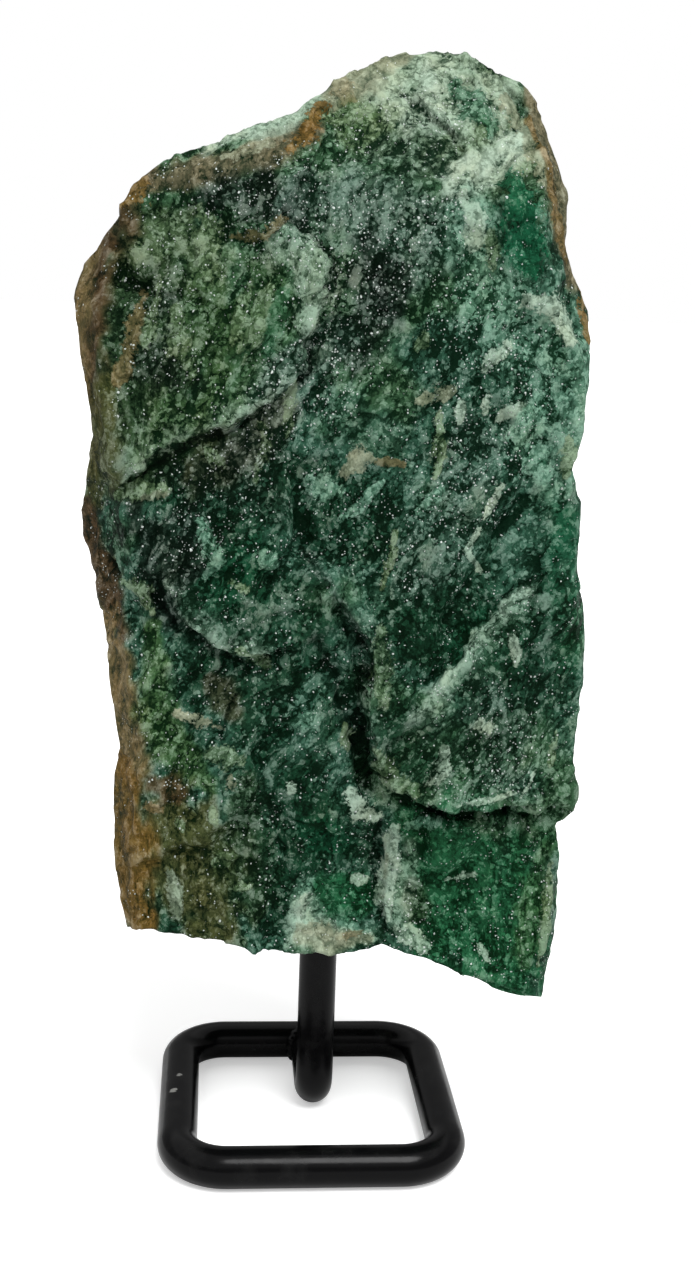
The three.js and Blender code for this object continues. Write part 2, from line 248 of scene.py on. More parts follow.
def weld_rows():
    """Circles along the saddle curve on which the foot's skin meets the ring's inner side. Its radius
    swells and shrinks along it by a sine, and what would reach under the table is lifted on to it."""
    turn = np.arange(WELD_STEPS) / WELD_STEPS * 2 * np.pi
    bar_radius = (ring_high[2] - ring_low[2]) / 2
    x = post_x + post_radius * np.cos(turn)
    z = post_radius * (1 + np.sin(turn))
    y = ring_high[1] - bar_radius - np.sqrt(np.maximum(bar_radius**2 - (z - bar_radius) ** 2, 0))
    y = np.minimum(y, ring_high[1] - bar_radius - WELD_SADDLE)
    centres = np.stack([x, y, z], -1)
    along = np.roll(centres, -1, 0) - np.roll(centres, 1, 0)
    along /= np.linalg.norm(along, axis=1, keepdims=True)
    outward = np.stack([np.cos(turn), 0 * turn, np.sin(turn)], -1)
    outward -= (outward * along).sum(1, keepdims=True) * along
    outward /= np.linalg.norm(outward, axis=1, keepdims=True)
    radius = WELD_REACH * (0.85 + 0.12 * np.sin(WELD_RIPPLES * turn) + 0.1 * np.sin(5 * turn + 1))
    rows = bar_rows(centres, outward, np.cross(outward, along), radius, WELD_SIDES)
    rows[..., 2] = np.maximum(rows[..., 2], WELD_FLOOR)
    return rows


faces = sleeve_faces(WELD_STEPS, WELD_SIDES, closed=True)
mesh_piece("weld_bead", weld_rows().reshape(-1, 3), faces, paint)


# The stone. It is one block of green aventurine, a quartzite coloured by tiny green mica, broken by hand
# and left rough. Its faces and ledges lie where those of the solid it stands for do, with an outline traced
# more closely, sharper steps, crisper facets, cracks and grains.
FRONT_FACE = -18
BACK_FACE = 27
BACK_INSET = 0.07
LEFT_SIDE = [
    (48.5, -38), (58, -40.5), (77, -41.3), (84, -39.8), (97, -42.2), (105, -43), (119, -45.5), (124, -47.4),
    (129, -47.4), (144, -44.8), (160, -47.3), (168, -48.5), (174, -46.8), (182, -40), (188, -37.5),
    (192, -32.5),
]
RIGHT_SIDE = [
    (34.2, 44.5), (41, 45.7), (56, 47), (62.5, 45.8), (71.5, 44.6), (73.5, 48.4), (78, 49), (84, 46.7),
    (94, 47), (102, 48), (112, 48), (122, 45.4), (134, 45.4), (141, 43), (147, 44.6), (156, 45.4),
    (169, 46.6), (174, 43.7), (180, 41), (190, 41.8), (199, 38.5), (203, 36.6), (206.5, 36), (209, 34),
]
UNDERSIDE = [
    (-38, 48.5), (-33.5, 49.8), (-26, 48), (-18.5, 46.9), (-14.5, 45.6), (-6.5, 44.6), (5.5, 44),
    (9.5, 44.7), (12, 46), (15, 44.7), (23, 42.2), (31.5, 40), (37.5, 37.2), (41.5, 36.2), (44.5, 34.2),
]
CREST = [
    (-32.5, 192), (-28.5, 194.2), (-23.5, 195.5), (-18.5, 198.3), (-15, 199.5), (-10, 201.3), (-4.5, 205.5),
    (1, 210), (6.5, 212.7), (11, 213.8), (15.5, 215), (20.5, 214.8), (25, 213.1), (29, 210.4), (34, 209),
]
CROWN_LINE = [(-38.5, 183), (-32.5, 190), (-14.5, 192), (1.5, 190), (13.5, 190), (25.5, 189), (33.5, 186)]
CROWN_SLOPE = 0.72
LEFT_BEVEL = [
    (50, -35.5), (56, -36.5), (80, -34.7), (92, -35.7), (101, -33.9), (110, -34.9), (125, -38.5),
    (140, -41.5), (165, -44), (185, -38.5),
]
RIGHT_BEVEL = [
    (33, 43), (60, 44.5), (75, 47), (100, 47.5), (120, 44.5), (137, 43), (150, 44.5), (160, 44),
    (165, 40.5), (172, 38), (188, 33.8), (203, 26.5), (212, 19.5),
]
BEVEL_SLOPE = 1.4
BACK_PLANES = [(0, 0, BACK_FACE), (0.83, -1, 209), (-0.6, 0, 39), (0.7, 0, 41), (0, -1, 217), (0.1, 0.25, 13)]

# Each ledge is its height, the reach over which it fades behind its line, the width of its step, the length
# over which its ends fade, how pale its edge is, and its line as x and z of each place
FRONT_LEDGES = [
    (3.6, 24, 1.4, 8, 0.6, [
        -42.5, 134, -27.5, 144, -11.5, 151.5, -7.5, 157, -3.8, 169, -3, 176, -15.5, 186,
    ]),
    (6, 42, 1.8, 26, 0.15, [
        -6.5, 122.5, -0.1, 116, 5.5, 107, 5.7, 96, 7, 87.5, 9.5, 79, 21.5, 75.7, 36.5, 74.5,
        57.5, 77,
    ]),
    (2.4, 22, 1.2, 8, 0.8, [43.5, 125, 32.5, 116, 25.5, 108, 20, 102, 11.5, 90]),
    (2.8, 18, 1.2, 8, 0.8, [-33.5, 121, -30.5, 112.7, -27.5, 108, -18.5, 103.5, -4.5, 106]),
    (-2, 30, 1.4, 8, 0, [13.5, 36, 11, 47, 11.5, 58, 12.5, 67, 13, 73]),
    (1.2, 8, 1.2, 6, 0.4, [9.5, 208, 16.5, 201, 23.5, 193]),
]
BACK_LEDGES = [
    (4, 34, 2, 8, 0.6, [-34.5, 150, -10.5, 128, 9.5, 120, 25.5, 98, 47.5, 92]),
    (3, 24, 2, 8, 0.6, [31.5, 182, 17.5, 160, 21.5, 140, 41.5, 128]),
    (3, 22, 2, 8, 0.6, [-36.5, 92, -16.5, 84, -4.5, 66, -8.5, 44]),
]
LEDGE_FRAY = 1.5
LEDGE_HEIGHT = 3
GROOVE_DEPTH = 0.4  # of the dark groove along the foot of a ledge that is LEDGE_HEIGHT high
GROOVE_WIDTH = 0.6
GROOVE_GAP = 0.1  # from the foot of the step

# Each kind of facet is the size of its cells, their tilt, and how crisply one meets the next. The large ones
# fill the same cells as the solid's, but meet more crisply, and those of the smaller cells are flatter.
LARGE_FACETS = [(17, 0.2, 20), (7.5, 0.12, 20)]
FINE_FACETS = [(4.4, 0.15, 24), (2.1, 0.17, 20)]
LAYER_SIZE = 10
LAYERS = 3
LAYER_HEIGHT = 0.3
GRAIN_ANGLE = math.radians(60)
GRAIN_STRETCH = 1.6

# The flakes on the broken faces follow the grain more steeply, and their lines shift sideways with height
FLAKE_ANGLE = math.radians(76)
FLAKE_BEND = [(33, -12), (80, 0), (125, -9), (215, -9)]
FLAKE_SWIRL = 5
FLAKE_SIZE = 3.8
FLAKE_HEIGHT = 0.45
RIDGE_SHARE = 0.35  # of the fine relief that is left where the skin turns round the outline
RIM_WIDTH = 1.9  # of the paler edge along a ledge
# Strength of the painted shade along the foot of a ledge
GROOVE_SHADE = 0.6

FRONT_STEPS = 160
SIDE_STEPS = 34
BACK_STEPS = 60
HEIGHT_STEPS = 280
UNDERSIDE_STEPS = 24
SOLID_FRONT_STEPS = 36  # steps of the solid's own net, over which its facets come in beside the front edges
SOLID_SIDE_STEPS = 6
SOLID_EDGE_STEPS = 3
GLUE_GAP = 0.35
HOLE_RADIUS = post_radius + GLUE_GAP
HOLE_DEPTH = 28
SKIN_RUN = 4  # columns to either side over which a loop's direction is taken
EDGE_BLURS = 30  # blurs of the skin, above which edges stand and below which hollows lie


def along(line, at):
    """Value at a place on a broken line of (place, value) points, held past its ends."""
    return np.interp(at, [q for q, _ in line], [value for _, value in line])


def outline_place(across, up):
    """Place on the outline's net, where across goes from left to right and up from underside to crest. The
    four outline curves are blended, less the blend of the four corners."""
    def side(line):
        z = line[0][0] + (line[-1][0] - line[0][0]) * up
        return along(line, z), z

    def level(line):
        x = line[0][0] + (line[-1][0] - line[0][0]) * across
        return x, along(line, x)

    left, right, under, crest = side(LEFT_SIDE), side(RIGHT_SIDE), level(UNDERSIDE), level(CREST)
    place = []
    for k in (0, 1):
        low = UNDERSIDE[0][k] * (1 - across) + UNDERSIDE[-1][k] * across
        high = CREST[0][k] * (1 - across) + CREST[-1][k] * across
        sides = left[k] * (1 - across) + right[k] * across
        place.append(sides + under[k] * (1 - up) + crest[k] * up - (low * (1 - up) + high * up))
    return place


def line_distance(line, x, z):
    """Signed distance to a broken line, positive on the left of its travel, the place along it, and its
    length. The line is given as x and z of each of its places in turn."""
    nearest = np.full(np.shape(x), np.inf)
    side, place, length = np.ones(np.shape(x)), np.zeros(np.shape(x)), 0.0
    for ax, az, bx, bz in zip(line[::2], line[1::2], line[2::2], line[3::2]):
        run_x, run_z = bx - ax, bz - az
        run = math.hypot(run_x, run_z)
        share = np.clip(((x - ax) * run_x + (z - az) * run_z) / run**2, 0, 1)
        distance = np.hypot(x - ax - share * run_x, z - az - share * run_z)
        closer = distance < nearest
        nearest = np.where(closer, distance, nearest)
        side = np.where(closer, np.sign(run_x * (z - az) - run_z * (x - ax)), side)
        place = np.where(closer, length + share * run, place)
        length += run
    return side * nearest, place, length


def chance(cell, turn):
    """Number from 0 to 1 that is always the same for the same cell and turn."""
    mixed_up = np.sin(cell @ [127.1, 311.7, 74.7] + turn * 53.3) * 43758.5453
    return mixed_up - np.floor(mixed_up)


def value_noise(points, size, turn=0):
    """Smooth noise from 0 to 1: a chance at each corner of a grid of that size, blended by cubic shares."""
    place = points / size
    home = np.floor(place)
    share = place - home
    share = share * share * (3 - 2 * share)
    total = 0
    for corner in np.ndindex(2, 2, 2):
        corner = np.array(corner)
        weight = np.prod(np.where(corner == 1, share, 1 - share), axis=-1)
        total = total + weight * chance(home + corner, 11 + turn)
    return total


def behind_ledge(line, taper, x, z):
    """Distance behind a ledge's line, which noise frays, and how full the ledge is there, less near the
    line's ends."""
    behind, place, length = line_distance(line, x, z)
    flat = np.stack([x, 0 * x, z], -1)
    fray = value_noise(flat, 3.4, 15) * 0.55 + value_noise(flat, 1.3, 16) * 0.45 - 0.5
    return behind + 2 * LEDGE_FRAY * fray, smoothstep(np.minimum(place, length - place), 0, taper)


def ledges(kinds, x, z):
    """Sum of broken ledges. Each is full just behind its line and fades by exp(-distance / reach). A groove
    runs in front of it, by a bell curve of the distance."""
    total = 0
    for height, reach, width, taper, _, line in kinds:
        behind, full = behind_ledge(line, taper, x, z)
        rise = smoothstep(behind, -width / 2, width / 2)
        groove = np.exp(-((behind + width / 2 + GROOVE_GAP) / GROOVE_WIDTH) ** 2)
        groove = groove * GROOVE_DEPTH * max(height, 0) / LEDGE_HEIGHT
        total = total + full * (height * rise * np.exp(-np.maximum(behind, 0) / reach) - groove)
    return total


def front_depth(x, z):
    """Depth of the front: the face, cut back by the crown and the bevels, less the ledges on it."""
    crown = CROWN_SLOPE * (z - along(CROWN_LINE, x))
    left = BEVEL_SLOPE * (along(LEFT_BEVEL, z) - x)
    right = BEVEL_SLOPE * (x - along(RIGHT_BEVEL, z))
    cut = np.maximum(np.maximum(crown, left), np.maximum(right, 0))
    return FRONT_FACE + cut - ledges(FRONT_LEDGES, x, z)


def back_depth(x, z):
    """Depth of the back: the nearest of its fracture planes, with its ledges."""
    planes = [share_x * x + share_z * z + reach for share_x, share_z, reach in BACK_PLANES]
    return np.min(planes, axis=0) + ledges(BACK_LEDGES, x, z)


def on_grain(points, angle=GRAIN_ANGLE):
    """Points turned so that the first axis runs along the grain, and shortened along it."""
    along_grain = (points[..., 0] * math.cos(angle) + points[..., 2] * math.sin(angle)) / GRAIN_STRETCH
    cross_grain = points[..., 2] * math.cos(angle) - points[..., 0] * math.sin(angle)
    return np.stack([along_grain, points[..., 1], cross_grain], -1)


def facets(points, size, tilt, edge):
    """Broken facets: space is filled with cells stretched along the grain, each a plane of its own lean.
    Height is the mean of the planes, weighted by exp(-edge * distance^2) from each cell's point."""
    place = on_grain(points) / size
    home = np.floor(place)
    height, weights = 0, 0
    for step in np.ndindex(3, 3, 3):
        cell = home + np.array(step[::-1]) - 1
        start = np.stack([chance(cell, turn) for turn in (1, 2, 3)], -1) + cell - place
        lean = np.stack([chance(cell, turn) for turn in (4, 5, 6)], -1) - 0.5
        weight = np.exp(-edge * (start**2).sum(-1))
        height = height + weight * (lean * start).sum(-1)
        weights = weights + weight
    return 2 * tilt * size * height / weights


def skin_rows():
    """Loops of the stone's skin from underside to crest, each run round from the front left: front, right
    side, back, left side. The large facets are broken into them square to the loop as seen from above."""
    up = np.linspace(0, 1, HEIGHT_STEPS + 1)[:, None]

    def at(across, depth):
        x, z = outline_place(*np.broadcast_arrays(across, up))
        return np.stack([x, depth(x, z), z], -1)

    front_share = np.linspace(0, 1, FRONT_STEPS, endpoint=False)
    side_share = np.linspace(0, 1, SIDE_STEPS, endpoint=False)
    back_share = np.linspace(1 - BACK_INSET, BACK_INSET, BACK_STEPS, endpoint=False)
    front_left, front_right = at(np.array([0.0]), front_depth), at(np.array([1.0]), front_depth)
    back_left = at(np.array([BACK_INSET]), back_depth)
    back_right = at(np.array([1 - BACK_INSET]), back_depth)
    share = side_share[None, :, None]
    rows = np.concatenate([
        at(front_share, front_depth),
        front_right + (back_right - front_right) * share,
        at(back_share, back_depth),
        back_left + (front_left - back_left) * share,
    ], axis=1)
    steps = np.concatenate([
        np.minimum(front_share, 1 - front_share) * SOLID_FRONT_STEPS,
        side_share * SOLID_SIDE_STEPS,
        np.full(BACK_STEPS, float(SOLID_SIDE_STEPS)),
        (1 - side_share) * SOLID_SIDE_STEPS,
    ])
    run = np.roll(rows, -SKIN_RUN, 1) - np.roll(rows, SKIN_RUN, 1)
    out = np.stack([run[..., 1], -run[..., 0], 0 * run[..., 0]], -1)
    out /= np.linalg.norm(out, axis=-1, keepdims=True)
    height = sum(facets(rows, *kind) for kind in LARGE_FACETS)
    return rows + out * (height * smoothstep(steps, 0, SOLID_EDGE_STEPS))[..., None]


def underside_rows(edge):
    """Loops of the drilled hole's blind end and mouth, then rings that spread from the mouth to the skin's
    lowest loop, level with the mouth at first and following the underside's outline further out."""
    mouth = along(UNDERSIDE, post_x)
    hole = np.array([post_x, post_y])
    away = edge[:, :2] - hole
    rim = np.empty_like(edge)
    rim[:, :2] = hole + HOLE_RADIUS * away / np.linalg.norm(away, axis=1, keepdims=True)
    rim[:, 2] = mouth
    share = np.linspace(0, 1, UNDERSIDE_STEPS + 1)[1:-1, None, None]
    rings = rim + (edge - rim) * share
    level = along(UNDERSIDE, rings[..., 0]) * (1 - share[..., 0]) + edge[:, 2] * share[..., 0]
    rings[..., 2] = mouth + (level - mouth) * smoothstep(share[..., 0], 0, 0.5)
    end = rim.copy()
    end[:, 2] = mouth + HOLE_DEPTH
    return np.concatenate([end[None], rim[None], rings])


def row_normals(rows):
    """Outward normals of a sheet of loops: the cross product of its steps round a loop and up."""
    around = np.roll(rows, -2, 1) - np.roll(rows, 2, 1)
    upward = np.gradient(rows, axis=0)
    normals = blurred(np.cross(around, upward), 1)
    return normals / np.maximum(np.linalg.norm(normals, axis=-1, keepdims=True), 1e-9)


def blurred(values, times):
    """Values of a sheet of loops, each made the mean of itself and its neighbours, that many times over."""
    for _ in range(times):
        values = (np.roll(values, 1, 1) + 2 * values + np.roll(values, -1, 1)) / 4
        above, below = np.concatenate([values[1:], values[-1:]]), np.concatenate([values[:1], values[:-1]])
        values = (above + 2 * values + below) / 4
    return values


def crest_rows(loop):
    """Rows across the crest from the loop's front edge to its back edge, without their two ends."""
    shares = np.arange(1, SIDE_STEPS)[:, None, None] / SIDE_STEPS
    back = loop[FRONT_STEPS + SIDE_STEPS:FRONT_STEPS + SIDE_STEPS + BACK_STEPS + 1][::-1]
    place = np.arange(1, FRONT_STEPS) / FRONT_STEPS * BACK_STEPS
    far = np.stack([np.interp(place, np.arange(BACK_STEPS + 1), back[:, k]) for k in range(3)], -1)
    near = loop[1:FRONT_STEPS]
    return near + (far - near) * shares


def strip_faces(lower, upper):
    """Triangles between two rows of point numbers of any lengths, walking both by their shares."""
    lower, upper = np.asarray(lower), np.asarray(upper)
    a, b = len(lower) - 1, len(upper) - 1
    i, j = np.arange(a), np.arange(b)
    beside_i = np.searchsorted((j + 1) * a, (i + 1) * b, side="left")
    beside_j = np.searchsorted((i + 1) * b, (j + 1) * a, side="right")
    first = np.stack([lower[i], lower[i + 1], upper[beside_i]], -1)
    second = np.stack([lower[beside_j], upper[j + 1], upper[j]], -1)
    return np.concatenate([first, second]).tolist()


# Tints of the stone as the eye sees them, and what the grains' shade makes of them on average
TINT_SHARE = 0.72
SLATE = (72, 98, 84)
DARK_SLATE = (38, 56, 46)
TEAL = (56, 98, 78)
PALE_TEAL = (94, 138, 114)
DEEP_GREEN = (22, 66, 42)
EMERALD = (26, 98, 66)
LEAF = (70, 104, 60)
GRASS = (42, 108, 70)
MOSS = (50, 74, 44)
OLIVE = (84, 86, 46)
SAGE = (92, 116, 80)
MINT = (144, 164, 144)
WHITE_GREEN = (172, 188, 174)
CREAM = (136, 142, 116)
TAN = (132, 114, 76)
BEIGE = (122, 114, 88)
RUST = (126, 98, 46)
BROWN = (94, 74, 50)
# Painted shade: the dark laid in the creases and along the foot of each ledge
PAINTED_SHADE_GREEN = (14, 22, 17)
PALE_RIM = (138, 164, 142)

# Zones of the display face, laid one over the other from broad to small: tint, half width, strength, and
# then x and z of each place on its line
ZONES = [
    # the upper left block
    (MOSS, 19, 0.9, -34, 178, -36, 160, -36, 142),
    (SAGE, 5, 0.6, -38, 177, -30, 180, -24, 177, -25, 172),
    (DARK_SLATE, 5, 0.5, -32, 168, -33, 158, -30, 152),
    (LEAF, 8, 0.5, -24, 168, -24, 158),
    (LEAF, 6, 0.8, -36, 141, -28, 147, -19, 150),
    (LEAF, 7, 0.55, -13, 173, -15, 162, -19, 154),
    (BROWN, 5, 0.9, -36, 189, -42, 181, -46, 172, -47, 160, -46, 148),
    (TAN, 3.4, 0.85, -46, 177, -48.5, 166, -47.5, 150),
    (TAN, 2.6, 0.6, -45.5, 145, -46, 134),
    (OLIVE, 5, 0.8, -43, 152, -43, 142, -45, 132),
    # the crown, whose pale tints are partly its own colour and partly painted light from above
    (SAGE, 15, 0.95, -2, 204, 12, 206, 22, 203, 29, 197),
    (MINT, 10, 0.6, 6, 208, 16, 207, 26, 205),
    (LEAF, 4, 0.6, -2, 201, 4, 202),
    (SLATE, 5, 0.5, 6, 195, 14, 197, 19, 194),
    (MINT, 4, 0.8, 18, 189, 25, 194, 32, 200),
    (BEIGE, 3.4, 0.9, -36, 187, -30, 189, -20, 192, -10, 196, -5, 199),
    (BEIGE, 3.6, 0.9, 35, 208, 38, 196, 40.5, 184, 43, 174),
    (MINT, 2.2, 0.75, -25, 195, -16, 198, -9, 202, 0, 208),
    (CREAM, 3.5, 0.8, -3, 206, 4, 210, 10, 213),
    # the dark band under the crown and the slate middle
    (DARK_SLATE, 5, 0.85, -25, 186, -16, 187, -9, 184),
    (SLATE, 9, 0.75, -8, 186, 6, 184, 14, 181, 8, 170),
    (DARK_SLATE, 6, 0.8, 4, 180, 6, 170, 2, 160),
    (SLATE, 6, 0.8, -1, 164, -8, 156, -14, 147, -18, 140),
    (DARK_SLATE, 8, 0.35, -30, 138, -20, 138, -12, 134),
    (BROWN, 6, 0.25, -26, 137, -18, 142, -12, 149),
    # the right side
    (PALE_TEAL, 11, 0.7, 22, 182, 29, 170, 40, 158, 42, 140),
    (TEAL, 10, 0.7, 20, 160, 28, 150, 24, 138),
    (SLATE, 8, 0.4, 24, 148, 22, 130, 14, 118),
    (EMERALD, 5, 0.6, 43, 132, 44, 118, 45, 104),
    (DEEP_GREEN, 8, 0.7, 12, 112, 18, 107),
    (EMERALD, 6, 0.55, 34, 113, 27, 106, 23, 101),
    (DEEP_GREEN, 8, 0.75, 12, 96, 14, 88, 18, 82),
    (DEEP_GREEN, 13, 0.6, 40, 112, 34, 100, 26, 88),
    (SLATE, 8, 0.3, 28, 98, 32, 88, 36, 82),
    # the middle and the left
    (TEAL, 6, 0.7, -4, 152, 2, 147, 10, 143),
    (DARK_SLATE, 9, 0.85, -36, 128, -28, 122, -31, 112),
    (DEEP_GREEN, 10, 0.7, -20, 126, -12, 112, -4, 104),
    (EMERALD, 5, 0.4, -26, 114, -19, 118, -14, 124),
    (BROWN, 4, 0.95, -47, 130, -45, 120, -42, 112, -39, 106),
    (TAN, 5.5, 0.95, -42, 108, -41, 96, -39, 88, -38, 81),
    (LEAF, 4.2, 0.85, -34, 108, -33, 100, -33, 92, -28, 84, -23, 79),
    (DEEP_GREEN, 7, 0.7, -24, 100, -14, 94, -12, 84),
    (BROWN, 3.6, 0.4, -23, 98, -18, 93),
    # the foot of the stone
    (OLIVE, 12, 0.85, -29, 74, -26, 62, -22, 53),
    (MOSS, 7, 0.7, -17, 76, -15, 64, -14, 54),
    (RUST, 6.2, 0.9, -39, 79, -39, 68, -38, 56, -35, 51),
    (BROWN, 3, 0.75, -33, 79, -28, 77),
    (DEEP_GREEN, 8, 0.85, -6, 80, -5, 66, -7, 54),
    (EMERALD, 5, 0.5, -4, 70, 3, 68),
    (GRASS, 16, 0.95, 24, 70, 30, 56, 36, 40),
    (DEEP_GREEN, 4, 0.4, 22, 73, 34, 72),
    (LEAF, 3, 0.5, 43, 66, 41, 54, 40, 42),
    (GRASS, 3.5, 0.7, 17, 64, 18, 57),
    (MOSS, 3, 0.75, 17.5, 58, 19, 52),
    (PALE_TEAL, 5.5, 0.85, -3, 57, -2, 51, 3, 48, 9, 48),
    (MINT, 3.4, 0.5, -4, 55, -4, 49, 4, 47),
    (GRASS, 5.4, 0.95, 1.5, 58, 5, 55, 8, 52),
    (CREAM, 2.8, 0.75, -4, 47.5, 2, 46.5, 9, 47),
    (MINT, 3, 0.35, 16, 66, 15, 58, 14.5, 50),
]

# Flakes of thin layers, stains and seams that stand out singly, in the same form
FLAKES = [
    # the upper left block
    (RUST, 2.4, 0.8, -39, 184, -36, 188),
    (TAN, 1.8, 0.6, -35.5, 169, -37.5, 162, -40, 153.5),
    (SAGE, 1.5, 0.8, -32.5, 171, -34.5, 165, -35.5, 160),
    (SAGE, 2.4, 0.7, -30, 166, -29.5, 160, -26.5, 155.5),
    (SAGE, 2.6, 0.8, -26, 184, -24, 179, -24, 173.5),
    (SAGE, 1.3, 0.7, -17, 172, -18.5, 166, -20, 161),
    (TAN, 1.4, 0.6, -11, 183, -15, 180, -20, 179.5),
    (SAGE, 2.6, 0.6, -14, 170, -16, 163, -18, 158),
    (MINT, 4, 0.3, -13, 177, -8, 177, -5, 172, -7, 165),
    (EMERALD, 2.4, 0.4, -11, 170, -14, 160),
    (SAGE, 1.6, 0.8, -40, 133, -36, 135, -31, 134.5),
    (CREAM, 1.2, 0.6, -35, 133, -31, 134.5),
    (SAGE, 1.3, 0.7, -24, 142, -21, 139),
    (SAGE, 1.2, 0.6, -14.5, 147, -13, 144, -14.5, 140, -15, 136),
    (WHITE_GREEN, 0.9, 0.9, -15, 141, -14, 139.5),
    (SAGE, 1.1, 0.7, -8.5, 155, -9.5, 150, -10, 145),
    # the crown
    (RUST, 2, 0.9, -5, 203, -7, 198, -10, 195),
    (CREAM, 1.3, 0.7, -22, 193, -14, 195.5),
    (TAN, 2.2, 0.35, -2, 208, 0, 205),
    (MINT, 2, 0.7, 15, 211, 15, 205, 17, 202),
    (EMERALD, 3.4, 0.7, 20, 208, 24, 204, 26, 200),
    (MINT, 2.6, 0.6, 25, 194, 29, 197, 32, 200),
    (MINT, 1.8, 0.6, 20, 188, 23, 184, 23, 179),
    (CREAM, 2.4, 0.7, 29, 206, 33, 200, 36, 191),
    (RUST, 1.3, 0.6, 33.5, 203, 36.5, 193, 39, 184, 41, 178),
    (SAGE, 1.4, 0.7, -3, 200, 4, 203),
    (SAGE, 1.5, 0.7, 26, 182, 26.5, 176),
    (EMERALD, 4.6, 0.95, 30, 190, 32, 183, 33, 175.5),
    # the right side
    (RUST, 1.4, 0.85, 44.5, 173, 45.5, 164),
    (MINT, 2.3, 0.75, 33, 171, 38, 170, 42, 164),
    (SAGE, 1.5, 0.75, 13, 161, 15, 164),
    (MINT, 1.5, 0.6, 26, 158, 30, 162),
    (CREAM, 1.5, 0.65, 13.5, 151.5, 17, 153, 20.5, 154),
    (SAGE, 1.5, 0.85, 18, 149.5, 18.5, 144, 17.5, 138.5),
    (MINT, 1.2, 0.6, 22, 152, 21.5, 148),
    (MINT, 1.1, 0.6, 27, 154, 26, 149),
    (PALE_TEAL, 4, 0.75, 36, 152, 34.5, 146, 38, 139),
    (EMERALD, 2, 0.6, 35, 143, 38, 141),
    (MINT, 1.2, 0.5, 29, 149, 33, 152),
    (SAGE, 1.4, 0.8, 42, 146, 42, 139),
    (CREAM, 2.2, 0.7, 1, 138.5, 4.5, 141.5, 6, 141),
    (TAN, 0.9, 0.6, 6, 141, 11.5, 140.3),
    (PALE_TEAL, 1.3, 0.8, 1, 130, 4, 132.5, 8, 137),
    (SAGE, 0.9, 0.8, 10.5, 128, 10, 123, 8.5, 117),
    (MINT, 1, 0.7, 30, 137.5, 27, 131),
    (MINT, 0.9, 0.5, 26, 129, 24, 125, 27, 121),
    (PALE_TEAL, 1.4, 0.7, 15, 132, 19, 136),
    (MINT, 1, 0.5, 33, 110, 34, 104),
    (MINT, 1.3, 0.5, 26, 92.5, 31, 92),
    (SAGE, 1, 0.7, 43, 91, 42, 84),
    (MINT, 1.5, 0.5, 18.5, 81, 21, 83.5, 21, 88),
    (SAGE, 2.2, 0.55, 8, 110, 8.5, 103, 9.5, 96),
    (SAGE, 2.2, 0.6, 8, 87, 11, 82, 16, 79.5),
    (MINT, 0.6, 0.5, 23, 77.5, 30, 78.5, 38, 80),
    (MINT, 0.7, 0.6, 36, 78, 39.5, 84),
    # the middle and the left
    (PALE_TEAL, 3, 0.7, -5, 137, 0, 135),
    (SAGE, 1.8, 0.7, -19, 118, -16, 116),
    (PALE_TEAL, 1.6, 0.7, -25, 129, -22, 122, -24, 119),
    (PALE_TEAL, 1.8, 0.6, -14, 124, -11, 121),
    (SAGE, 1.8, 0.8, -39, 117, -35, 115.5, -34, 111.5),
    (SAGE, 1.4, 0.6, -17, 105, -12, 102),
    (CREAM, 1.4, 0.85, -29, 92.5, -24.5, 91.3, -21, 90),
    (SAGE, 2.6, 0.65, -22, 85, -17.5, 84),
    (CREAM, 0.9, 0.7, -18.7, 81, -18.4, 77),
    (PALE_TEAL, 2.6, 0.5, -7, 91, -2, 92),
    (SAGE, 1.4, 0.85, 2.5, 91, 3.5, 86),
    (MINT, 2.3, 0.65, 4.5, 78, 6, 74.5, 9, 73),
    # the foot of the stone
    (TAN, 1.4, 0.7, -35, 75, -32, 74),
    (TAN, 1.5, 0.7, -38, 63, -35, 65),
    (MINT, 1.5, 0.4, -29.8, 61, -28.8, 57, -28.3, 52.5),
    (SAGE, 1, 0.8, -28.5, 72, -27.5, 70),
    (SAGE, 1, 0.8, -22, 74, -21, 71),
    (SAGE, 1.6, 0.6, -21, 63, -18, 64),
    (SAGE, 1.2, 0.8, -18, 57.5, -14.5, 58.5),
    (MINT, 1, 0.6, -8, 79.5, -6, 78),
    (CREAM, 1.5, 0.6, -4.5, 50, 0, 48, 4, 47.5),
    (TAN, 1.2, 0.5, 4, 47.5, 8, 48.5),
    (MINT, 1.6, 0.5, -4, 56, -4.5, 51),
    (MINT, 1.3, 0.6, 5.5, 59.3, 8, 59),
    (MINT, 1.8, 0.55, 13, 70, 12.8, 63, 11.5, 56, 12.3, 51),
    (CREAM, 0.8, 0.5, 12.4, 66, 12, 60, 11.4, 54),
    (MINT, 2, 0.5, 14, 49, 18, 47, 20, 45.5),
    (PALE_TEAL, 1.5, 0.7, 16, 71, 21, 72.5),
    (MINT, 1, 0.7, 24, 59, 29.5, 60.5),
    (MINT, 1, 0.6, 31, 46, 32.5, 43.5),
    (SAGE, 1.3, 0.7, 44, 64, 44, 54, 43, 42),
]

# Places where the painted glints of mica are thickest and the dark between the grains is deepest: half width,
# strength, and line
GLITTER = [
    (12, 1, -22, 186, -8, 182, 6, 178, 16, 184),
    (10, 0.9, 4, 172, -2, 160, -12, 148, -20, 138),
    (13, 0.8, 22, 170, 28, 156, 26, 142, 20, 130),
    (9, 0.7, -30, 136, -24, 128),
    (9, 0.8, 30, 96, 34, 86, 28, 80),
    (7, 0.6, 10, 198, 18, 204, 24, 206),
    (10, 0.5, 14, 120, 6, 126, -6, 138),
    (8, 0.5, -36, 172, -30, 160, -24, 152),
]
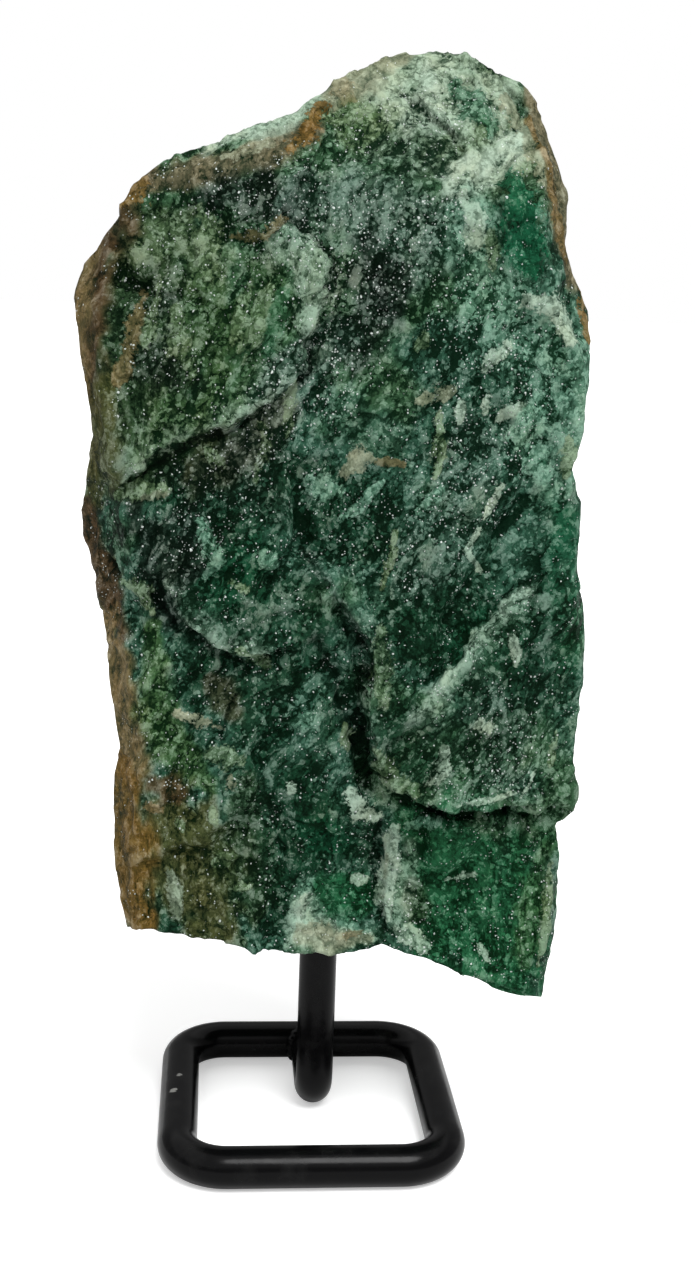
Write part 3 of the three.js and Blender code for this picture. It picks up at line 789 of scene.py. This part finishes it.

# Creases and hollows: half width, depth, and line. They are cut into the skin, and on the front painted shade
# darkens them
CREASES = [
    (1.4, 0.9, -6, 124, -1, 118, 3, 111, 6.5, 104, 6, 98),
    (3, 2, -3, 107, 1, 99, 3.5, 91, 5.5, 84, 7, 79),
    (1.5, 2.6, 15, 76.5, 22, 74, 30, 74, 37, 75.5),
    (1.3, 1.6, 10.3, 72, 10, 65, 10, 58),
    (0.8, 1.2, 11, 54, 12, 48),
    (1, 0.5, 10, 206, 15, 202.5, 21, 198),
    (0.9, 1, -34, 115, -29, 109.5, -23, 105.5, -16, 102),
    (0.6, 1, -18, 96, -20, 91, -22, 87),
    (1.4, 0.7, -36, 139.5, -28, 142.5, -22, 145.5),
    (0.8, 1, -43, 121, -40, 117.5),
    (2.2, 1, 3, 178, 6, 172, 7, 168),
    (1.2, 1, -12, 184, -18, 182),
]


def bent_grain(points):
    """Points on the flakes' lines: shifted sideways by height and by slow noise, then on the grain."""
    shift = along(FLAKE_BEND, points[..., 2]) + 2 * FLAKE_SWIRL * (value_noise(points, 24, 9) - 0.5)
    return on_grain(points + np.stack([shift, 0 * shift, 0 * shift], -1), FLAKE_ANGLE)


def layering(grained):
    """Smooth field from 0 to 1 whose level lines are the edges of the stone's thin layers."""
    return (value_noise(grained, LAYER_SIZE, 6) + 0.5 * value_noise(grained, LAYER_SIZE / 2, 7)) / 1.5


def flaking(points, grained):
    """Field that is highest in the middle of each broken flake. Slow noise gathers the flakes."""
    field = 0.6 * value_noise(grained, FLAKE_SIZE, 12) + 0.4 * value_noise(grained, FLAKE_SIZE / 2, 13)
    return field + 0.2 * (value_noise(points, 11, 14) - 0.5)


def layer_steps(field):
    """Height of the layers, from -0.5 to 0.5: each rises slowly to its edge and drops there at once."""
    share = field * LAYERS % 1
    return share * (1 - smoothstep(share, 0.86, 1)) - 0.4


def linear(colour):
    """Linear light of a colour given as the eye sees it, in steps of 255."""
    share = np.array(colour) / 255
    return np.where(share <= 0.04045, share / 12.92, ((share + 0.055) / 1.055) ** 2.4) * TINT_SHARE


def stroke(points, width, line, ragged):
    """How far a point lies inside a stroke: 1 on its line, 0 at its edge. It is widest in the middle of its
    length, and noise frays its edge."""
    away, place, length = line_distance(line, points[..., 0], points[..., 2])
    reach = width * (0.55 + 0.45 * np.sin(np.pi * place / length))
    return 1 - (np.abs(away) + ragged * (0.5 + 0.9 * width)) / reach


def fray(grained):
    """Noise about 0 that frays the edges of strokes."""
    return value_noise(grained, 3.2, 2) * 0.55 + value_noise(grained, 1.5, 3) * 0.45 - 0.5


def on_front(points, drift):
    """Share from 0 to 1 of the front half, parted from the back half by a line that drifts with noise."""
    return smoothstep(8 - points[..., 1] + 22 * (drift - 0.5), -3, 3)


def marked(points, grained):
    """Tint and strength of the single flake nearest to each point, and how far inside it the point lies."""
    tint = np.zeros((*points.shape[:-1], 4))
    mark = np.full(points.shape[:-1], -1.0)
    ragged = fray(grained)
    facing = smoothstep(12 - points[..., 1], -3, 3)
    for colour, width, strength, *line in FLAKES:
        value = stroke(points, width, line, ragged)
        nearer = value > mark
        mark = np.where(nearer, value, mark)
        tint = np.where(nearer[..., None], [*linear(colour), strength], tint)
    tint[..., 3] *= facing
    return tint, mark


def glittering(points, grained):
    """How much each point glitters, from 0 to 1. It gathers the painted glints."""
    drift = value_noise(points, 9, 18)
    amount = 0.3 * smoothstep(drift, 0.4, 0.7)
    ragged = fray(grained)
    for width, strength, *line in GLITTER:
        amount = np.maximum(amount, strength * smoothstep(stroke(points, width, line, ragged), -0.2, 0.6))
    return amount


def painted(points, grained):
    """Tint of each point. Clouds of noise lay the ground, and the zones, the ledges' pale edges, painted
    shade along the ledges' feet and painted shade in the creases go over it on the front half of the stone.
    Olive and rust creep over the back half."""
    cloud = value_noise(points, 22) * 0.6 + value_noise(points, 9, 1) * 0.4
    drift = value_noise(points, 15, 4) * 0.6 + value_noise(points, 5, 5) * 0.4
    ragged = fray(grained)
    tint = np.broadcast_to(linear(TEAL), points.shape).copy()

    def lay(amount, colour):
        nonlocal tint
        tint = tint + (linear(colour) - tint) * np.clip(amount, 0, 1)[..., None]

    lay(smoothstep(cloud, 0.5, 0.66) * 0.5, LEAF)
    lay(smoothstep(cloud, 0.46, 0.34) * 0.7, DEEP_GREEN)
    gaps = value_noise(points, 8, 17)
    facing = on_front(points, drift)
    behind = 1 - facing
    lay(behind * smoothstep(cloud, 0.5, 0.6) * 0.7, OLIVE)
    lay(behind * smoothstep(drift, 0.5, 0.62) * 0.7, RUST)
    lay(behind * smoothstep(ragged, 0.05, 0.2) * 0.5, TAN)
    for colour, width, strength, *line in ZONES:
        lay(facing * strength * smoothstep(stroke(points, width, line, ragged * 1.2), -0.25, 0.45), colour)
    for side, kinds in ((facing, FRONT_LEDGES), (behind, BACK_LEDGES)):
        for height, _, _, taper, pale, line in kinds:
            distance, full = behind_ledge(line, taper, points[..., 0], points[..., 2])
            rim = smoothstep(distance, -0.4, 0.4) * np.exp(-np.maximum(distance, 0) / RIM_WIDTH)
            lay(side * full * pale * rim * (1 + 2 * ragged) * smoothstep(gaps, 0.25, 0.5), PALE_RIM)
            # Painted shade: a dark band along the foot of each ledge, where its step shades the face
            groove = smoothstep(distance, -1.7, -0.9) * smoothstep(distance, -0.1, -0.6)
            groove = groove * smoothstep(gaps, 0.6, 0.4) * np.clip(height / LEDGE_HEIGHT, 0, 1)
            lay(side * full * groove * GROOVE_SHADE, PAINTED_SHADE_GREEN)
    # Painted shade in the creases, on the front half
    for width, _, *line in CREASES:
        lay(facing * 0.5 * smoothstep(stroke(points, width, line, ragged), 0, 0.9), PAINTED_SHADE_GREEN)
    return tint


# Crystals: the size of their cells, the share of cells that show, how pale the palest is, and whether they
# follow the grain
CRYSTALS = [(1.9, 0.2, 0.5, True), (1, 0.3, 0.6, False), (0.55, 0.26, 0.7, False)]

# Painted glints, white highlights laid into the colour: the size of their cells, their reach in it, the share
# of cells that show, and their strength
GLINTS = [(0.5, 0.42, 0.1, 0.85), (1.1, 0.26, 0.08, 1)]
# White of the painted highlights that stand for the mica's glints
GLINT_HIGHLIGHT_WHITE = (0.66, 0.72, 0.68, 1)
DEEP_TINT = (0.05, 0.14, 0.09, 1)  # multiplies the tint in the dark between the grains
PALE_TINT = (2, 2, 2, 1)  # multiplies it on the palest flakes
PALE_GREY = (0.3, 0.34, 0.31, 1)
PALE_SHARE = 0.3  # of the grey in them
WARM_TINT = (1.18, 1, 0.86, 1)
COOL_TINT = (0.88, 1, 0.97, 1)
STONE_SPECULAR = 0.03
STONE_RELIEF = 0.5  # height of the grains


def aventurine():
    """Green aventurine: the painted tint, deep where the stone is glassy, and greyed and paler on its
    broken flakes, which are broad, small, or crystals of three sizes. Painted shade darkens the hollows and
    the feet of the flakes, and grains of mica glint in clusters as painted highlights."""
    material, tree, shader = new_material("green_aventurine")
    place = add_node(tree, "TexCoord").outputs["Object"]

    def stored(name, output="Fac"):
        return add_node(tree, "Attribute", {"attribute_name": name}).outputs[output]

    tint, grain = stored("tint", "Color"), stored("grain", "Vector")
    flake, layer, edge, glitter = stored("flake"), stored("layer"), stored("edge"), stored("glitter")

    def noise(size, detail=4.0, vector=grain, distortion=0.0):
        """Noise about 0, mostly from -1 to 1, with clouds of that size in millimetres."""
        kind = {"Scale": 1000 / size, "Detail": detail, "Roughness": 0.6, "Distortion": distortion}
        made = add_node(tree, "TexNoise", Vector=vector, **kind)
        return ranged(tree, made.outputs["Fac"], 0.25, 0.75, -1.0, 1.0)

    def shifted(vector, size, reach):
        """Place shifted by noise with clouds of that size, by up to that reach in millimetres."""
        bent = add_node(tree, "TexNoise", Vector=vector, Scale=1000 / size, Detail=1.0, Roughness=0.5)
        terms = {"i0": bent.outputs["Color"], "i1": (2 * reach * MM,) * 3, "i2": vector}
        return add_node(tree, "VectorMath", {"operation": "MULTIPLY_ADD"}, **terms).outputs["Vector"]

    def cells(size, vector):
        """Distance to the nearest cell's point, as a share of their size, and two chances of that cell."""
        made = add_node(tree, "TexVoronoi", Vector=vector, Scale=1000 / size)
        parts = add_node(tree, "SeparateColor", Color=made.outputs["Color"])
        return made.outputs["Distance"], parts.outputs["Red"], parts.outputs["Green"]

    def scaled(value, amount):
        return maths(tree, "MULTIPLY", value, amount)

    def total(first, *rest):
        for value in rest:
            first = maths(tree, "ADD", first, value)
        return first

    clouds, warmth = noise(13, 3.0), noise(6, 5.0)
    patch, mottle = noise(4.2, 5.0, distortion=0.4), noise(1.5, 4.0)
    fine = noise(0.55, 3.0, place)
    marked_field = total(stored("mark"), scaled(mottle, 0.6), scaled(fine, 0.45))
    single = scaled(ranged(tree, marked_field, 0.0, 0.3), stored("flake_tint", "Alpha"))
    tint = mixed(tree, single, tint, stored("flake_tint", "Color"))
    parts = add_node(tree, "SeparateColor", Color=tint)
    glassy = ranged(tree, total(parts.outputs["Green"], scaled(parts.outputs["Red"], -1.9)), 0.015, 0.07)
    earthy = ranged(tree, total(parts.outputs["Red"], scaled(parts.outputs["Green"], -0.72)), -0.005, 0.015)
    bright = add_node(tree, "RGBToBW", Color=tint).outputs["Val"]
    density = total(ranged(tree, bright, 0.015, 0.2, -0.06, 0.06), scaled(glassy, -0.05))
    density = total(density, scaled(glitter, 0.02))

    # Flakes: broad ones from the mesh's own field, small ones, and crystals, each a crisp step out of noise
    broad_field = total(flake, scaled(mottle, 0.035), scaled(fine, 0.025), density)
    broad = ranged(tree, broad_field, 0.53, 0.57)
    small_field = total(noise(1.5, 4.0, grain, 0.7), scaled(density, 3.0), scaled(clouds, 0.4))
    small = ranged(tree, small_field, 0.03, 0.13)
    crystal, crystal_height = 0.0, 0.0
    jagged, uneven = shifted(grain, 1.2, 0.3), shifted(place, 1.0, 0.3)
    for size, share, palest, follows in CRYSTALS:
        away, chosen, tone = cells(size, jagged if follows else uneven)
        chosen = total(chosen, scaled(density, 2.2), scaled(patch, 0.2), scaled(fine, 0.04))
        shown = ranged(tree, chosen, 1.0 - share, 1.03 - share)
        sunk = ranged(tree, chosen, 0.3, 0.1)
        shape = total(ranged(tree, away, 0.0, 0.8, 0.3, -0.3), scaled(tone, 0.8))
        lit = scaled(shown, total(ranged(tree, tone, 0.0, 1.0, 0.1, palest), scaled(mottle, 0.15)))
        crystal = total(crystal, lit, scaled(sunk, -0.1))
        crystal_height = total(crystal_height, scaled(shape, 0.5 * size), scaled(shown, 0.25 * size))
    # Painted shade: a dark band just outside the edge of each broad and each small flake
    shaded = scaled(ranged(tree, broad_field, 0.46, 0.53), maths(tree, "SUBTRACT", 1.0, broad))
    pit_shade = scaled(ranged(tree, small_field, -0.3, 0.03), maths(tree, "SUBTRACT", 1.0, small))
    flakes = total(
        scaled(single, 0.14),
        scaled(broad, ranged(tree, noise(2.6, 3.0), -0.4, 0.4, 0.02, 0.36)),
        scaled(small, ranged(tree, noise(2.1, 3.0, place), -0.4, 0.4, 0.02, 0.26)),
        scaled(crystal, total(1.0, scaled(glitter, 0.3), scaled(earthy, -0.45), scaled(glassy, -0.25))),
    )
    layered = maths(tree, "FRACT", scaled(total(layer, scaled(patch, 0.1)), float(LAYERS)))
    layered = scaled(ranged(tree, layered, 0.5, 1.0), ranged(tree, clouds, -0.3, 0.3, 0.0, 0.2))
    worn = scaled(ranged(tree, edge, 0.35, 1.8), 0.3)
    # Painted shade: darker in the skin's hollows
    hollow_shade = scaled(ranged(tree, edge, -0.4, -2.2), -0.65)

    # Light: the ground's tone, calmer where it is pale, earthy or glassy, and all that lies on it, with
    # painted shade in the hollows and round the flakes' feet
    calm = total(ranged(tree, bright, 0.09, 0.22, 1.0, 0.55), scaled(earthy, -0.25), scaled(glassy, -0.15))
    grainy = total(scaled(patch, 0.24), scaled(mottle, 0.24), scaled(fine, 0.14))
    ground = total(ranged(tree, bright, 0.1, 0.35, 0.26, 0.36), scaled(grainy, calm), scaled(glitter, -0.16))
    # Painted shade round the flakes' feet, weaker where the ground is calm
    gaps = scaled(total(scaled(shaded, -0.16), scaled(pit_shade, -0.14)), calm)
    flakes = scaled(flakes, total(1.0, scaled(earthy, -0.4)))
    light = total(ground, gaps, flakes, layered, worn, hollow_shade)

    dark = mixed(tree, 1.0, tint, DEEP_TINT, "MULTIPLY")
    pale = mixed(tree, PALE_SHARE, mixed(tree, 1.0, tint, PALE_TINT, "MULTIPLY"), PALE_GREY)
    colour = mixed(tree, ranged(tree, light, 0.0, 0.5), dark, tint)
    colour = mixed(tree, ranged(tree, light, 0.5, 1.1), colour, pale)
    for end, cast in ((0.8, WARM_TINT), (-0.8, COOL_TINT)):
        colour = mixed(tree, ranged(tree, warmth, 0.0, end, 0.0, 0.5), colour, cast, "MULTIPLY")

    # Painted glints, white highlights laid into the colour: small ones gathered in clusters, and a few larger
    # ones
    gathered = total(scaled(noise(3.0, 2.0, place), 0.45), scaled(clouds, 0.2))
    gathered = total(gathered, scaled(glitter, 0.42), scaled(earthy, -0.12))
    glint = 0.0
    for size, reach, share, strength in GLINTS:
        away, chosen, tone = cells(size, uneven)
        shown = ranged(tree, total(chosen, gathered), 1.0 - share, 1.04 - share)
        shown = scaled(shown, ranged(tree, tone, 0.0, 1.0, 0.2 * strength, strength))
        near = maths(tree, "SUBTRACT", ranged(tree, tone, 0.0, 1.0, 0.4 * reach, reach), away)
        glint = maths(tree, "MAXIMUM", glint, scaled(ranged(tree, near, 0.0, reach / 3), shown))
    tree.links.new(mixed(tree, glint, colour, GLINT_HIGHLIGHT_WHITE), shader.inputs["Base Color"])

    shader.inputs["Specular IOR Level"].default_value = STONE_SPECULAR
    gloss = total(0.5, scaled(mottle, 0.1), scaled(glint, -0.3))
    tree.links.new(gloss, shader.inputs["Roughness"])
    height = total(
        scaled(patch, 0.3), scaled(mottle, 0.34), scaled(fine, 0.2), scaled(single, 0.5),
        scaled(broad, 0.5), scaled(small, 0.35), scaled(crystal_height, 0.6), scaled(glint, 0.4),
    )
    strength = ranged(tree, calm, 0.3, 1.0, 0.6, 1.0)
    bump = add_node(tree, "Bump", Strength=strength, Distance=STONE_RELIEF * MM, Height=height)
    tree.links.new(bump.outputs["Normal"], shader.inputs["Normal"])
    return material


def stone_piece():
    """The stone's mesh: hole, underside and skin as one sleeve of loops, closed by a fan in the hole and by
    strips over the crest. Fine facets move its points along their normals, and the tints are kept as
    attributes."""
    skin = skin_rows()
    rows = np.concatenate([underside_rows(skin[0]), skin])
    columns = rows.shape[1]
    normals = row_normals(rows)
    broken = np.ones(len(rows))
    broken[:UNDERSIDE_STEPS + 1] = smoothstep(np.arange(UNDERSIDE_STEPS + 1), 2, 8)
    grained = bent_grain(rows)
    tint = painted(rows, grained)
    layer, flake, glitter = layering(grained), flaking(rows, grained), glittering(rows, grained)
    flake_tint, mark = marked(rows, grained)
    height = sum(facets(rows, *kind) for kind in FINE_FACETS) + LAYER_HEIGHT * layer_steps(layer)
    height = height + FLAKE_HEIGHT * (smoothstep(flake, 0.5, 0.6) - 0.4 + 0.6 * smoothstep(mark, 0, 0.3))
    height = height * (RIDGE_SHARE + (1 - RIDGE_SHARE) * smoothstep(np.abs(normals[..., 1]), 0.1, 0.7))
    facing = smoothstep(-normals[..., 1], 0, 0.4)
    ragged = value_noise(rows, 2.6, 8) - 0.5
    for width, depth, *line in CREASES:
        height = height - facing * depth * smoothstep(stroke(rows, width * 1.3, line, ragged), -0.2, 1)
    rows = rows + normals * (height * broken[:, None])[..., None]
    normals = row_normals(rows)
    edge = ((rows - blurred(rows, EDGE_BLURS)) * normals).sum(-1)
    edge[:UNDERSIDE_STEPS + 1] *= broken[:UNDERSIDE_STEPS + 1, None]

    crest = crest_rows(rows[-1])
    crest[..., 2] += sum(facets(crest, *kind) for kind in FINE_FACETS)
    column = np.round(np.arange(1, FRONT_STEPS) / FRONT_STEPS * (FRONT_STEPS - 1)).astype(int)
    crest_tint = np.broadcast_to(tint[-1][column], crest.shape)
    middle = np.array([[post_x, post_y, rows[0, 0, 2]]])
    points = np.concatenate([rows.reshape(-1, 3), crest.reshape(-1, 3), middle])

    count = rows.shape[0] * columns
    last = count - columns
    ring = np.arange(columns)
    faces = sleeve_faces(len(rows), columns)
    faces += np.stack([0 * ring + len(points) - 1, (ring + 1) % columns, ring], -1).tolist()
    lower = last + np.arange(FRONT_STEPS + 1)
    back_start = FRONT_STEPS + SIDE_STEPS
    left_start = back_start + BACK_STEPS
    for step in range(1, SIDE_STEPS):
        inner = count + (step - 1) * (FRONT_STEPS - 1) + np.arange(FRONT_STEPS - 1)
        left = last + (left_start + SIDE_STEPS - step) % columns
        upper = np.concatenate([[left], inner, [last + FRONT_STEPS + step]])
        faces += strip_faces(lower, upper)
        lower = upper
    faces += strip_faces(lower, last + np.arange(back_start, left_start + 1)[::-1])

    stone = mesh_piece("rough_stone", points, faces, aventurine())

    def keep(name, kind, values, over):
        """Keep an attribute given on the sleeve and over the crest. The fan's middle has its first
        value."""
        every = np.concatenate([values.ravel(), over.ravel(), values[0, :1].ravel()]).astype(np.float32)
        field = {"FLOAT": "value", "FLOAT_VECTOR": "vector", "FLOAT_COLOR": "color"}[kind]
        stone.data.attributes.new(name, kind, "POINT").data.foreach_set(field, every)

    crest_grain = bent_grain(crest)
    blank = np.zeros(crest.shape[:2])
    opaque = np.ones((*tint.shape[:2], 1))
    keep("tint", "FLOAT_COLOR", np.concatenate([tint, opaque], -1), np.dstack([crest_tint, blank + 1]))
    keep("flake_tint", "FLOAT_COLOR", flake_tint, np.dstack([crest_tint, blank]))
    keep("grain", "FLOAT_VECTOR", grained * MM, crest_grain * MM)
    keep("mark", "FLOAT", mark, blank - 1)
    keep("flake", "FLOAT", flake, flaking(crest, crest_grain))
    keep("layer", "FLOAT", layer, layering(crest_grain))
    keep("edge", "FLOAT", edge, blank)
    keep("glitter", "FLOAT", glitter, blank + 0.3)
    return stone


stone = stone_piece()
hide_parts("stone")


# The table and the light. A plain white table stands under a broad soft light from above and in front, in a
# white room that fills the shadows.
TABLE_HALF = 30  # metres
TABLE_WHITE = (0.82, 0.82, 0.82, 1)
TABLE_ROUGHNESS = 0.8
TABLE_SPECULAR = 0.1
TABLE_GLOW = 0.4


def soft_sun(name, direction, spread, strength):
    """A distant light that shines along the direction, as soft as a source of that many degrees."""
    lamp = bpy.data.lights.new(name, "SUN")
    lamp.angle = math.radians(spread)
    lamp.energy = strength
    made = bpy.data.objects.new(name, lamp)
    made.rotation_euler = Vector(direction).to_track_quat("-Z", "Y").to_euler()
    bpy.context.scene.collection.objects.link(made)


def white_room(seen, light):
    """World that the camera sees at one strength and that lights at another."""
    world = bpy.data.worlds.new("white_room")
    world.use_nodes = True
    tree = world.node_tree
    path = add_node(tree, "LightPath").outputs["Is Camera Ray"]
    strength = ranged(tree, path, 0.0, 1.0, light, seen)
    background = tree.nodes["Background"]
    background.inputs["Color"].default_value = (1, 1, 1, 1)
    tree.links.new(strength, background.inputs["Strength"])
    bpy.context.scene.world = world


def white_table(half):
    """A square white table top at z = 0, which glows a little so that far shadows fade on it."""
    material, tree, shader = new_material("white_table")
    shader.inputs["Base Color"].default_value = TABLE_WHITE
    shader.inputs["Roughness"].default_value = TABLE_ROUGHNESS
    shader.inputs["Emission Color"].default_value = (1, 1, 1, 1)
    seen = add_node(tree, "LightPath").outputs["Is Camera Ray"]
    tree.links.new(maths(tree, "MULTIPLY", seen, TABLE_GLOW), shader.inputs["Emission Strength"])
    shader.inputs["Specular IOR Level"].default_value = TABLE_SPECULAR
    mesh = bpy.data.meshes.new("table")
    corners = [(-half, -half, 0), (half, -half, 0), (half, half, 0), (-half, half, 0)]
    mesh.from_pydata(corners, [], [(0, 1, 2, 3)])
    mesh.materials.append(material)
    table = bpy.data.objects.new("table", mesh)
    bpy.context.scene.collection.objects.link(table)


white_table(TABLE_HALF)
white_room(seen=1.0, light=0.35)
soft_sun("key", direction=(-0.25, 0.6, -1.1), spread=30, strength=3.2)
soft_sun("top", direction=(0.1, 0.1, -1.0), spread=120, strength=1.6)
bpy.context.scene.view_settings.view_transform = "Standard"


# The camera. It stands where the photograph was taken from, a little to the left of the stone's middle and
# level with its shoulders, looking down on the ring and rolled by about two degrees.
CAMERA_PLACE = (-23.008, -303.159, 168.764)
CAMERA_TURN = 5.144  # degrees towards +X
CAMERA_DIP = 12.127
CAMERA_ROLL = 2.0845
FOCAL_PIXELS = 1565.13
LONG_SIDE_PIXELS = 1280
SENSOR = 36

turn, dip, roll = (math.radians(angle) for angle in (CAMERA_TURN, CAMERA_DIP, CAMERA_ROLL))
forward = Vector((math.sin(turn) * math.cos(dip), math.cos(turn) * math.cos(dip), -math.sin(dip)))
level = Vector((math.cos(turn), -math.sin(turn), 0))
over = level.cross(forward)
right = math.cos(roll) * level + math.sin(roll) * over
above = -math.sin(roll) * level + math.cos(roll) * over
lens = bpy.data.cameras.new("camera")
lens.sensor_width = SENSOR
lens.lens = SENSOR * FOCAL_PIXELS / LONG_SIDE_PIXELS
camera = bpy.data.objects.new("camera", lens)
axes = Matrix((right, above, -forward)).transposed().to_4x4()
camera.matrix_world = Matrix.Translation(Vector(CAMERA_PLACE) * MM) @ axes
bpy.context.scene.collection.objects.link(camera)
bpy.context.scene.camera = camera
